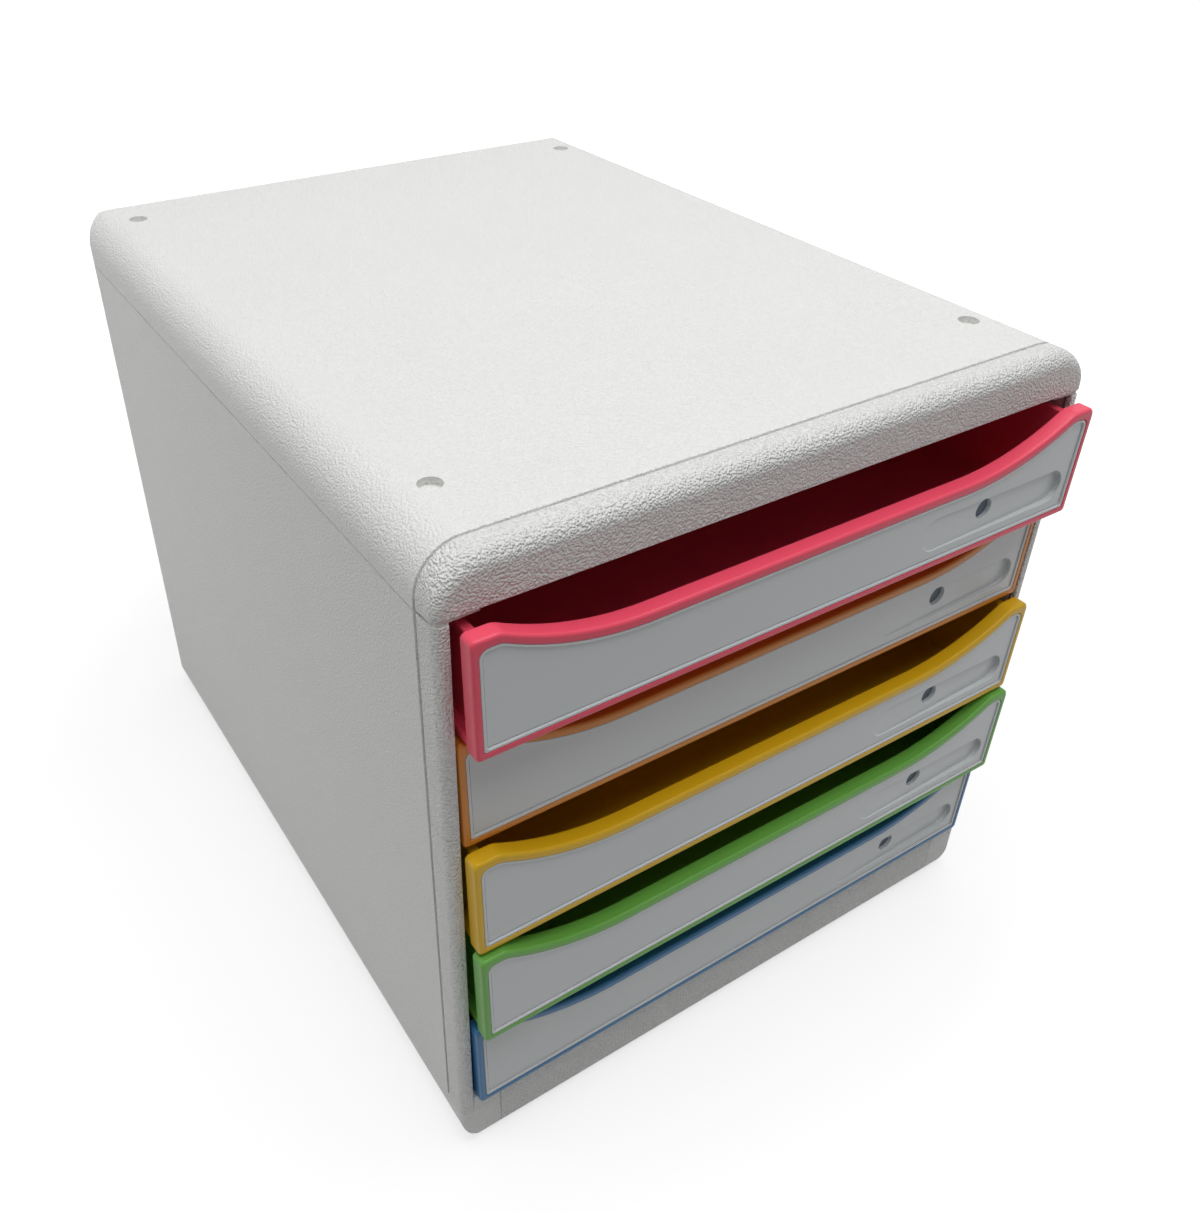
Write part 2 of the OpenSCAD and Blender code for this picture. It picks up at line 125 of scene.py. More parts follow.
def power_property(name, description, watts):
    return FloatProperty(name=name, description=description, default=watts, min=0, unit="POWER")


class StageSettings(bpy.types.PropertyGroup):
    """Camera, lamps and floor"""

    camera_at: place_property(
        "Camera position", "Where the camera stands", (-0.24481, -0.40272, 0.44176)
    )
    camera_turn: FloatVectorProperty(
        name="Camera turn", description="How the camera is turned", size=3,
        default=tuple(math.radians(a) for a in (55.41923, -0.43148, -32.84969)),
        subtype="EULER", unit="ROTATION",
    )
    lens: FloatProperty(
        name="Lens", description="Focal length in millimetres", default=34.888, min=1
    )
    shift: FloatVectorProperty(
        name="Lens shift", description="Sideways and upward shift of the lens",
        size=2, default=(0.0419, -0.0277),
    )
    sky_light: FloatProperty(
        name="Sky light", description="Strength of the even light", default=0.165, min=0
    )
    top_place: place_property(
        "Top lamp position", "Where the lamp overhead hangs", (0.05, -0.2, 1.5)
    )
    top_size: length_property("Top lamp size", "Width of the lamp overhead", 1300)
    top_power: power_property("Top lamp", "Power of the lamp overhead", 17)
    side_place: place_property(
        "Side lamp position", "Where the lamp on the left hangs", (-1.5, 0.45, 0.9)
    )
    side_size: length_property("Side lamp size", "Width of the lamp on the left", 1200)
    side_power: power_property("Side lamp", "Power of the lamp on the left", 3.9)
    lamp_aim: length_property("Lamp aim", "Height of the point that the lamps face", 130)
    floor_half: length_property("Floor half width", "Half the width of the floor", 6000)
    floor_glow: FloatProperty(
        name="Floor glow", description="Paleness given to the floor beside the object",
        default=0.68, min=0, max=1,
    )
    glow_start: length_property(
        "Glow start", "How far from the middle the floor begins to turn white", 250
    )
    glow_stop: length_property("Glow end", "How far from the middle the floor is white", 800)
    floor_colour: colour_property("Floor", "Colour of the floor", (0.45, 0.45, 0.45))


class CasingSettings(bpy.types.PropertyGroup):
    """Casing, front frame, runners and feet"""

    colour: colour_property("Casing colour", "Colour of the casing's plastic", (0.80, 0.80, 0.785))
    runner_colour: colour_property(
        "Runner colour", "Colour of the inner side walls", (0.66, 0.66, 0.64)
    )
    foot_colour: colour_property("Foot colour", "Colour of the feet", (0.55, 0.55, 0.53))
    foot_edge_radius: length_property("Foot edge radius", "Radius of the feet's edges", 0.5)
    edge_radius: length_property("Edge radius", "Radius of the casing's moulded edges", 0.35)
    shoulder_radius: length_property("Shoulder radius", "Radius of the two top shoulders", 16)
    nose_radius: length_property("Nose radius", "Radius of the bezel's upper front edge", 6)
    stile_radius: length_property("Stile radius", "Radius of the upright front edges", 3)
    joint_fall: length_property(
        "Joint fall", "Drop of the bezel's lower edge from the front to the groove", 1.7
    )
    opening_half: length_property(
        "Opening half width", "Half the width of the drawers' opening", 130.1
    )


class DrawerSettings(bpy.types.PropertyGroup):
    """Drawers"""

    pink: colour_property("Pink", "Colour of the top drawer", (0.86, 0.08, 0.14))
    orange: colour_property("Orange", "Colour of the second drawer", (0.70, 0.25, 0.03))
    yellow: colour_property("Yellow", "Colour of the third drawer", (0.78, 0.47, 0.01))
    green: colour_property("Green", "Colour of the fourth drawer", (0.15, 0.43, 0.07))
    blue: colour_property("Blue", "Colour of the bottom drawer", (0.045, 0.19, 0.40))
    height: length_property("Front height", "Height of a front", 43.4)
    foot_half: length_property("Foot half width", "Half the width of a front at its foot", 128.9)
    top_half: length_property("Top half width", "Half the width of a front at its top", 129.6)
    thickness: length_property("Front thickness", "Depth of a front from its face to its back", 6.5)
    back: length_property("Back thickness", "Thickness of the wall behind the plate", 2)
    shoulder: length_property("Shoulder", "Width of the level shoulder beside the dip", 9.9)
    dip_depth: length_property("Dip depth", "Depth of the dip in the top edge", 13.3)
    dip_radius: length_property("Dip radius", "Radius of the dip's arcs", 110)
    corner_radius: length_property("Corner radius", "Radius of a front's two top corners", 2)
    foot_radius: length_property("Foot corner radius", "Radius of a front's two foot corners", 1.4)
    recess_radius: length_property("Recess radius", "Radius of the recess's two top corners", 3.5)
    recess_foot_radius: length_property(
        "Recess foot radius", "Radius of the recess's two foot corners", 0.8
    )
    kink_radius: length_property(
        "Kink radius", "Radius of the bend from the shoulder to the dip", 7
    )
    lip_radius: length_property("Lip radius", "Radius of the edges round the front's face", 1.3)
    back_radius: length_property("Back edge radius", "Radius of the edges behind the lip", 0.9)
    edge_radius: length_property("Edge radius", "Radius of the recess's edge", 0.3)
    border_side: length_property("Side border", "Width of the border beside the plate", 2.4)
    border_foot: length_property("Foot border", "Width of the border below the plate", 2.6)
    border_top: length_property("Top border", "Width of the border above the plate", 3.3)


class PlateSettings(bpy.types.PropertyGroup):
    """Front plates and label cards"""

    colour: colour_property("Plate colour", "Colour of the front plates", (0.69, 0.715, 0.725))
    # The cards' dark grey-blue is painted shade: pale paper cards as they look in the shade behind
    # the peep holes
    card_colour: colour_property("Card colour", "Colour of the label cards", (0.16, 0.19, 0.23))
    gap: length_property("Gap", "Clearance round a plate", 0.15)
    sink: length_property("Sink", "How far the rim lies behind the front", 0.3)
    rim_proud: length_property("Rim crown", "How far the rounded rim is drawn forward", 0.15)
    groove_width: length_property("Groove width", "Width of the fine groove inside the rim", 0.35)
    groove_depth: length_property("Groove depth", "Depth of the fine groove inside the rim", 0.35)
    rim_width: length_property("Rim width", "Width of the raised rim", 1.1)
    rim_height: length_property("Rim height", "How far the face lies behind the rim", 0.5)
    corner_radius: length_property("Corner radius", "Radius of a plate's two top corners", 3.5)
    foot_radius: length_property("Foot corner radius", "Radius of a plate's two foot corners", 0.7)
    rim_radius: length_property("Rim edge radius", "Radius of the rim's edges", 0.3)
    wall: length_property(
        "Wall", "Thickness of the plate, its skirt and the boss round the slot", 1.6
    )
    skirt_depth: length_property("Skirt depth", "Depth of the skirt behind the face", 3.55)
    boss_depth: length_property("Boss depth", "Depth of the boss behind the face", 3)
    slot_start: length_property("Slot start", "Place of the slot's shallow end", 49)
    slot_stop: length_property("Slot end", "Place of the slot's deep end", 122.5)
    slot_height: length_property(
        "Slot height", "Height of the slot's middle over the front's foot", 14
    )
    slot_radius: length_property("Slot radius", "Half the slot's width", 6.65)
    slot_depth: length_property("Slot depth", "Depth of the slot at its deep end", 2.2)
    slot_edge: length_property("Slot edge radius", "Radius of the slot's edge", 0.3)
    slot_fillet: length_property(
        "Slot fillet", "Greatest radius between the slot's wall and its floor", 0.25
    )
    slot_lean: length_property(
        "Slot lean", "How far the wall at the deep end leans back under its edge", 0.9
    )
    slot_lead: length_property("Slot lead", "Depth of the slot at its shallow end", 0.4)
    hole_x: length_property("Hole place", "Place of the peep hole", 81)
    hole_height: length_property("Hole height", "Height of the peep hole's middle", 15.5)
    hole_radius: length_property("Hole radius", "Radius of the peep hole", 4)
    edge_radius: length_property("Edge radius", "Radius of the peep hole's edge", 0.3)


SETTINGS = {
    "tower_stage": StageSettings,
    "tower_casing": CasingSettings,
    "tower_drawers": DrawerSettings,
    "tower_plates": PlateSettings,
}


# ---------- materials ----------


def set_inputs(owner, node, inputs):
    """Links a node's inputs, or sets those that are constant."""
    for key, value in inputs.items():
        if isinstance(value, bpy.types.NodeSocket):
            owner.node_tree.links.new(value, node.inputs[key])
        else:
            node.inputs[key].default_value = value


def add_node(owner, kind, inputs=None, **values):
    """One shader node of a material or of the sky, with its values and its inputs."""
    made = owner.node_tree.nodes.new(kind)
    for key, value in values.items():
        setattr(made, key, value)
    set_inputs(owner, made, inputs or {})
    return made


def new_material(name):
    """A material and its shader."""
    material = bpy.data.materials.new(name)
    material.use_nodes = True
    return material, material.node_tree.nodes["Principled BSDF"]


def seen_rays(owner):
    """1 for rays that see the background, straight or in a glossy or clear surface, else 0."""
    rays = add_node(owner, "ShaderNodeLightPath")
    total = rays.outputs["Is Camera Ray"]
    for name in ("Is Glossy Ray", "Is Transmission Ray"):
        inputs = {0: total, 1: rays.outputs[name]}
        both = add_node(owner, "ShaderNodeMath", inputs, operation="ADD", use_clamp=True)
        total = both.outputs["Value"]
    return total


def moulded_plastic(name, colour, grain=1.2 * MM, depth=0.05 * MM, roughness=0.42, specular=0.4):
    """Injection-moulded plastic: leathery grain, faint mottling and uneven gloss."""
    material, shader = new_material(name)
    place = add_node(material, "ShaderNodeTexCoord").outputs["Object"]
    stray = add_node(
        material, "ShaderNodeTexNoise",
        {"Vector": place, "Scale": 0.8 / grain, "Detail": 2.0, "Roughness": 0.5},
    )
    warped = add_node(
        material, "ShaderNodeVectorMath",
        {0: stray.outputs["Color"], 1: (grain / 2, grain / 2, grain / 2), 2: place},
        operation="MULTIPLY_ADD",
    )
    cells = add_node(
        material, "ShaderNodeTexVoronoi",
        {"Vector": warped.outputs["Vector"], "Scale": 1 / grain, "Smoothness": 0.6},
        feature="SMOOTH_F1",
    )
    from_middle = cells.outputs["Distance"]
    bump = add_node(
        material, "ShaderNodeBump", {"Height": from_middle, "Strength": 1.0, "Distance": -depth}
    )
    patches = add_node(
        material, "ShaderNodeTexNoise",
        {"Vector": place, "Scale": PATCH_SCALE, "Detail": 5.0, "Roughness": 0.6},
    )
    darker = tuple(c * (1 - MOTTLING) for c in colour) + (1,)
    lighter = tuple(min(1, c * (1 + MOTTLING)) for c in colour) + (1,)
    tint = add_node(
        material, "ShaderNodeMix", {"Factor": patches.outputs["Fac"], "A": darker, "B": lighter},
        data_type="RGBA",
    )
    gloss = add_node(
        material, "ShaderNodeMapRange",
        {"Value": from_middle, "From Min": 0.0, "From Max": 1.0,
         "To Min": roughness + GLOSS_SPREAD[0], "To Max": roughness + GLOSS_SPREAD[1]},
    )
    set_inputs(material, shader, {
        "Base Color": tint.outputs["Result"], "Roughness": gloss.outputs["Result"],
        "Normal": bump.outputs["Normal"], "Specular IOR Level": specular,
    })
    return material


# ---------- shapes ----------


def welded(*nodes):
    """The CAD nodes' triangles as one closed mesh with whole flat faces."""
    shape = bmesh.new()
    for node in nodes:
        shape.from_mesh(NODES[node].data)
    bmesh.ops.remove_doubles(shape, verts=shape.verts, dist=WELD)
    bmesh.ops.dissolve_limit(
        shape, angle_limit=FLAT_ANGLE, verts=shape.verts, edges=shape.edges
    )
    return shape


def block(lo, hi):
    """A cuboid between two corners."""
    shape = bmesh.new()
    place = Matrix.Translation((lo + hi) / 2) @ Matrix.Diagonal((*(hi - lo), 1))
    bmesh.ops.create_cube(shape, size=1, matrix=place)
    return shape


def along(edge, axis):
    """Whether an edge runs along an axis."""
    way = edge.verts[1].co - edge.verts[0].co
    return abs(way[axis]) > PARALLEL * way.length


def at(edge, axis, value):
    """Whether both ends of an edge lie at a value on an axis."""
    return all(abs(v.co[axis] - value) < SAME_PLACE for v in edge.verts)


def rounding(radius, behind):
    """How far a quarter round stands back from its side, at a distance behind its front."""
    left = max(0, radius - behind)
    return radius - math.sqrt(radius * radius - left * left)


def front_place(node):
    """Where a drawer's front begins: the place of its face and the height of its foot."""
    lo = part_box(node)[0]
    return lo.y, lo.z


def away_from(centre, place):
    """The direction in X and Z from a centre to a place."""
    return (Vector((place.x, 0, place.z)) - centre).normalized()


def cut_through(shape, place, way, clear=False):
    """Cuts a shape at a plane, clears what lies beyond where asked, and gives the cut's edges."""
    cut = bmesh.ops.bisect_plane(
        shape, geom=[*shape.verts, *shape.edges, *shape.faces], dist=CUT_REACH,
        plane_co=place, plane_no=way, clear_outer=clear,
    )["geom_cut"]
    return [g for g in cut if isinstance(g, bmesh.types.BMEdge)]


def new_wall(shape, loop):
    """Draws a loop of edges out into a wall, and gives the wall's far points and edges."""
    made = bmesh.ops.extrude_edge_only(shape, edges=loop)["geom"]
    points = [g for g in made if isinstance(g, bmesh.types.BMVert)]
    edges = [g for g in made if isinstance(g, bmesh.types.BMEdge) and len(g.link_faces) == 1]
    return points, edges


def drawn_back(shape, loop, depth):
    """Draws a loop of edges back into a wall, and gives the wall's far edges."""
    points, edges = new_wall(shape, loop)
    bmesh.ops.translate(shape, verts=points, vec=(0, depth, 0))
    return edges


def fill_between(shape, edges):
    """Fills the space between a loop of edges and the loops inside it."""
    bmesh.ops.triangle_fill(shape, use_beauty=True, edges=edges, normal=(0, -1, 0))


def turned_out(shape, faces):
    """Turns a closed shell's faces outward, or an open shell's towards the front."""
    bmesh.ops.recalc_face_normals(shape, faces=faces)
    foremost = min(faces, key=lambda f: (f.calc_center_median().y, -f.calc_area()))
    if foremost.normal.y > 0:
        bmesh.ops.reverse_faces(shape, faces=faces)


class Outline:
    """A closed line in X and Z, drawn from point to point."""

    def __init__(self, shape, x, z):
        self.shape = shape
        self.others = set(shape.verts)
        self.tip = shape.verts.new((x, 0, z))

    def run(self, x, z, steps=1):
        """Runs on straight to a place."""
        start, stop = self.tip.co.copy(), Vector((x, 0, z))
        for step in range(steps):
            self.tip = bmesh.ops.extrude_vert_indiv(self.shape, verts=[self.tip])["verts"][0]
            self.tip.co = start.lerp(stop, (step + 1) / steps)

    def turn(self, x, z, degrees, steps):
        """Runs on round a centre, from the foot over the right side where the angle is positive."""
        self.tip = bmesh.ops.spin(
            self.shape, geom=[self.tip], cent=(x, 0, z), axis=(0, -1, 0),
            angle=math.radians(degrees), steps=steps, use_duplicate=False,
        )["geom_last"][0]

    def drawn(self):
        """The line's points."""
        return [v for v in self.shape.verts if v not in self.others]

    def edges(self):
        """The line's edges, each once, in the order of its points."""
        return list(dict.fromkeys(e for v in self.drawn() for e in v.link_edges))

    def close(self, y, foot_z, mirrored=False):
        """Joins the line's two ends, or the line and its mirror image, and gives its edges."""
        if mirrored:
            whole = [*self.drawn(), *self.edges()]
            bmesh.ops.mirror(self.shape, geom=whole, axis="X", merge_dist=WELD)
        bmesh.ops.remove_doubles(self.shape, verts=self.drawn(), dist=WELD)
        bmesh.ops.translate(self.shape, verts=self.drawn(), vec=(0, y, foot_z))
        return self.edges()


def front_loop(shape, values, y, foot_z, border, corner_radius, foot_radius):
    """A front's outline, drawn in by a border at its sides, foot and top."""
    side, foot, top = border
    head, out = values.height - top, values.top_half - side
    low = head - values.dip_depth
    dip, kink = values.dip_radius, values.kink_radius
    dip_width = math.sqrt(dip * dip - (dip - values.dip_depth) ** 2)
    flat_half = values.top_half - values.shoulder - dip_width
    bend = math.acos(1 - values.dip_depth / (dip + kink))
    line = Outline(shape, 0, low)
    line.run(flat_half, low)
    line.turn(flat_half, low + dip, math.degrees(bend), DIP_STEPS)
    kink_x = flat_half + (dip + kink) * math.sin(bend)
    line.turn(kink_x, head - kink, -math.degrees(bend), CORNER_STEPS)
    line.run(out - corner_radius, head)
    line.turn(out - corner_radius, head - corner_radius, -90, CORNER_STEPS)
    line.run(values.foot_half - side, foot + foot_radius)
    line.turn(values.foot_half - side - foot_radius, foot + foot_radius, -90, FOOT_STEPS)
    line.run(0, foot)
    return line.close(y, foot_z, mirrored=True)


def corner_edges(shape, angle=CORNER_ANGLE):
    """The edges between two faces that bend more than an angle."""
    return [e for e in shape.edges if len(e.link_faces) == 2 and e.calc_face_angle(0) > angle]


def round_off(shape, edges, radius, steps=EDGE_STEPS, clamped=True):
    """Rounds edges, held to the space that there is for them unless they are known to fit."""
    bmesh.ops.bevel(
        shape, geom=edges, offset=radius, offset_type="OFFSET", segments=steps, profile=0.5,
        affect="EDGES", material=-1, clamp_overlap=clamped, loop_slide=True,
    )


def round_long_edges(shape, radius):
    """Rounds the long sharp edges whose neighbours leave room for the radius."""
    room = radius + SPARE_ROOM
    edges = [
        e for e in corner_edges(shape)
        if e.calc_length() > LONG_EDGE
        and all(n.calc_length() > room for v in e.verts for n in v.link_edges)
    ]
    round_off(shape, edges, radius, clamped=False)


# ---------- objects ----------


def new_mesh(shape, name, material):
    """Turns a shape into a mesh of one material."""
    mesh = bpy.data.meshes.new(name)
    shape.to_mesh(mesh)
    shape.free()
    mesh.materials.append(material)
    return mesh


def new_object(name, data):
    """Puts a mesh, a lamp or a camera in the scene."""
    made = bpy.data.objects.new(name, data)
    bpy.context.scene.collection.objects.link(made)
    return made


def put_in_scene(shape, name, body, slot, material, *nodes):
    """Makes a piece, with its material and its body, and hides the nodes it stands for. The slot is
    not used.
    """
    mesh = new_mesh(shape, name, material)
    if mesh.has_custom_normals:  # the CAD mesh's own, which no longer fit the reshaped copy
        mesh.attributes.remove(mesh.attributes["custom_normal"])
    mesh.shade_smooth()
    mesh.set_sharp_from_angle(angle=SHARP_ANGLE)
    piece = new_object(name, mesh)
    weighted = piece.modifiers.new("Even shading", "WEIGHTED_NORMAL")
    weighted.keep_sharp = True
    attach(piece, body)
    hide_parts(*nodes)


def put_rounded_copies(names, radius, finish):
    """Makes pieces of the casing from their CAD nodes, with the long edges rounded."""
    for name in names:
        shape = welded(name)
        round_long_edges(shape, radius)
        put_in_scene(shape, name + "_moulding", CASING_BODY, "casing", finish, name)


# ---------- operators ----------


class TowerOperator:
    """A step that builds part of the scene"""

    bl_options = {"REGISTER", "UNDO"}

    def execute(self, context):
        self.build(context.scene)
        return {"FINISHED"}


class TOWER_OT_stage(TowerOperator, bpy.types.Operator):
    """Sets up the floor, the lamps, the sky and the camera"""

    bl_idname = "tower.stage"
    bl_label = "Stage"

    def build(self, scene):
        values = scene.tower_stage
        self.floor(values)
        self.sky(scene, values)
        aim = Vector((0, 0, values.lamp_aim))
        self.lamp("lamp_top", values.top_place, values.top_size, values.top_power, aim)
        self.lamp("lamp_side", values.side_place, values.side_size, values.side_power, aim)
        self.camera(scene, values)
        scene.view_settings.view_transform = "Standard"

    def floor(self, values):
        """A floor that turns white away from the object, where it meets the sky."""
        material, shader = new_material("floor")
        place = add_node(material, "ShaderNodeTexCoord").outputs["Object"]
        away = add_node(material, "ShaderNodeVectorMath", {0: place}, operation="LENGTH")
        glow = add_node(
            material, "ShaderNodeMapRange",
            {"Value": away.outputs["Value"],
             "From Min": values.glow_start, "From Max": values.glow_stop,
             "To Min": values.floor_glow, "To Max": 1.0},
        )
        inputs = {0: glow.outputs["Result"], 1: seen_rays(material)}
        shown = add_node(material, "ShaderNodeMath", inputs, operation="MULTIPLY")
        set_inputs(material, shader, {
            "Base Color": (*values.floor_colour, 1), "Roughness": 0.9, "Specular IOR Level": 0.1,
            "Emission Color": WHITE, "Emission Strength": shown.outputs["Value"],
        })
        shape = bmesh.new()
        bmesh.ops.create_grid(shape, x_segments=1, y_segments=1, size=values.floor_half)
        new_object("floor", new_mesh(shape, "floor", material))

    def sky(self, scene, values):
        """A sky that is white where it is seen and dimmer as a light."""
        world = bpy.data.worlds.new("sky")
        scene.world = world
        world.use_nodes = True
        strength = add_node(
            world, "ShaderNodeMapRange",
            {"Value": seen_rays(world), "To Min": values.sky_light, "To Max": 1.0},
        )
        background = world.node_tree.nodes["Background"]
        set_inputs(world, background, {"Color": WHITE, "Strength": strength.outputs["Result"]})

    def lamp(self, name, place, size, power, aim):
        light = bpy.data.lights.new(name, "AREA")
        light.shape = "SQUARE"
        light.size = size
        light.energy = power
        lamp = new_object(name, light)
        lamp.location = place
        lamp.rotation_euler = (aim - place).to_track_quat("-Z", "Y").to_euler()

    def camera(self, scene, values):
        lens = bpy.data.cameras.new("camera")
        lens.sensor_width = 36
        lens.sensor_fit = "AUTO"
        lens.lens = values.lens
        lens.shift_x, lens.shift_y = values.shift
        lens.clip_start, lens.clip_end = 0.01, 50
        camera = new_object("camera", lens)
        camera.location = values.camera_at
        camera.rotation_euler = Euler(values.camera_turn, "XYZ")
        scene.camera = camera


class TOWER_OT_casing(TowerOperator, bpy.types.Operator):
    """Builds the top cover, the side panels, the base and the back"""

    bl_idname = "tower.casing"
    bl_label = "Casing"

    def build(self, scene):
        values = scene.tower_casing
        finish = moulded_plastic(
            "casing_plastic", values.colour, grain=CASING_GRAIN, depth=0.42 * MM
        )
        names = "top_cover", "left_side_panel", "right_side_panel", "base_panel", "back_panel"
        put_rounded_copies(names, values.edge_radius, finish)


class TOWER_OT_front_frame(TowerOperator, bpy.types.Operator):
    """Builds the two bezels and the four lengths of stile"""

    bl_idname = "tower.front_frame"
    bl_label = "Front frame"

    def build(self, scene):
        values = scene.tower_casing
        finish = moulded_plastic(
            "frame_plastic", values.colour, grain=CASING_GRAIN, depth=0.8 * MM
        )
        sides, parts = ("left", "right"), ("upper", "lower")
        stiles = [f"{side}_stile_{part}" for side in sides for part in parts]
        put_rounded_copies(["bottom_bezel", *stiles], values.edge_radius, finish)
        bar = self.nose_bar(values)
        put_in_scene(bar, "top_bezel_moulding", CASING_BODY, "casing", finish, "top_bezel")

    def nose_bar(self, values):
        """The bar over the drawers, whose rounded nose runs on round both shoulders."""
        lo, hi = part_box("top_bezel")
        shape = block(lo, hi)
        shoulders = [e for e in shape.edges if along(e, Y) and e.verts[0].co.z > lo.z + WELD]
        round_off(shape, shoulders, values.shoulder_radius, SHOULDER_STEPS)
        nose = [e for e in shape.edges if at(e, Y, lo.y) and not at(e, Z, lo.z)]
        round_off(shape, nose, values.nose_radius, NOSE_STEPS)
        self.match_stiles(shape, lo, hi, values)
        self.cut_underside(shape, lo, hi, values)
        round_off(shape, corner_edges(shape, SHARP_ANGLE), values.edge_radius)
        return shape

    def match_stiles(self, shape, lo, hi, values):
        """Brings the front rounding of the bar's two ends to the radius that the stiles have."""
        centre = hi.x - values.shoulder_radius
        for vert in shape.verts:
            behind = vert.co.y - lo.y
            wide = values.shoulder_radius - rounding(values.nose_radius, behind)
            wanted = values.shoulder_radius - rounding(values.stile_radius, behind)
            if abs(vert.co.x) > centre:
                out = centre + (abs(vert.co.x) - centre) * wanted / wide
                vert.co.x = math.copysign(out, vert.co.x)

    def cut_underside(self, shape, lo, hi, values):
        """Cuts the bar's underside to a slope over the stiles and level over the opening."""
        level = lo.z + values.joint_fall
        slope = (0, -values.joint_fall, lo.y - hi.y)
        bmesh.ops.edgeloop_fill(
            shape, edges=cut_through(shape, (0, lo.y, level), slope, clear=True)
        )
        for side in (-1, 1):
            for inset in (0, STEP_WIDTH):
                cut_through(shape, (side * (values.opening_half - inset), 0, 0), (1, 0, 0))
        for vert in shape.verts:
            if abs(vert.co.x) < values.opening_half - STEP_WIDTH / 2 and vert.co.z < level:
                vert.co.z = level


class TOWER_OT_runners(TowerOperator, bpy.types.Operator):
    """Builds the two runners and the feet"""

    bl_idname = "tower.runners"
    bl_label = "Runners and feet"

    def build(self, scene):
        values = scene.tower_casing
        finish = moulded_plastic("runner_plastic", values.runner_colour, depth=0.02 * MM)
        for name in ("left_runner", "right_runner"):
            put_in_scene(
                welded(name), name + "_moulding", CASING_BODY, "runners", finish, name
            )
        finish = moulded_plastic(
            "foot_plastic", values.foot_colour, depth=0.02 * MM, roughness=0.6
        )
        shape = welded("feet")
        round_off(shape, corner_edges(shape), values.foot_edge_radius, BACK_STEPS)
        put_in_scene(shape, "feet_moulding", CASING_BODY, "feet", finish, "feet")


class TOWER_OT_trays(TowerOperator, bpy.types.Operator):
    """Builds the five coloured drawers"""

    bl_idname = "tower.trays"
    bl_label = "Drawers"

    def build(self, scene):
        values = scene.tower_drawers
        for number, colour in zip(DRAWERS, FRONT_COLOURS):
            node = f"tray_{number}"
            finish = moulded_plastic(
                colour + "_plastic", getattr(values, colour), grain=1.0 * MM, depth=0.02 * MM,
                roughness=0.32, specular=0.3,
            )
            shape = welded(node)
            face_y, foot_z = front_place(node)
            self.part_from_front(shape, values, face_y)
            self.add_front(shape, values, face_y, foot_z)
            put_in_scene(
                shape, f"drawer_{number}_moulding", f"drawer_{number}", "front_" + colour,
                finish, node,
            )

    def part_from_front(self, shape, values, face_y):
        """Keeps the tray behind its front, with its walls' ends drawn forward into the front."""
        cut_y = face_y + values.thickness + TRAY_CUT
        cut_through(shape, (0, cut_y, 0), (0, -1, 0), clear=True)
        round_long_edges(shape, values.edge_radius)
        ends = [e for e in shape.edges if len(e.link_faces) == 1]
        bmesh.ops.edgeloop_fill(shape, edges=drawn_back(shape, ends, -TRAY_OVERLAP))

    def add_front(self, shape, values, face_y, foot_z):
        """The front: a bordered face with a recess for the plate, and a rounded lip with a dip."""
        tray = set(shape.faces)
        border = values.border_side, values.border_foot, values.border_top
        face = front_loop(
            shape, values, face_y, foot_z, (0, 0, 0), values.corner_radius, values.foot_radius
        )
        recess = front_loop(
            shape, values, face_y, foot_z, border, values.recess_radius, values.recess_foot_radius
        )
        bmesh.ops.bridge_loops(shape, edges=[*face, *recess])
        back = drawn_back(shape, face, values.thickness)
        pocket = drawn_back(shape, recess, values.thickness - values.back)
        for loop in (back, pocket):
            bmesh.ops.edgeloop_fill(shape, edges=loop)
        turned_out(shape, [f for f in shape.faces if f not in tray])
        round_off(shape, face, values.lip_radius, LIP_STEPS)
        round_off(shape, [e for e in back if e.is_valid], values.back_radius, BACK_STEPS)
        round_off(shape, [e for e in recess if e.is_valid], values.edge_radius)


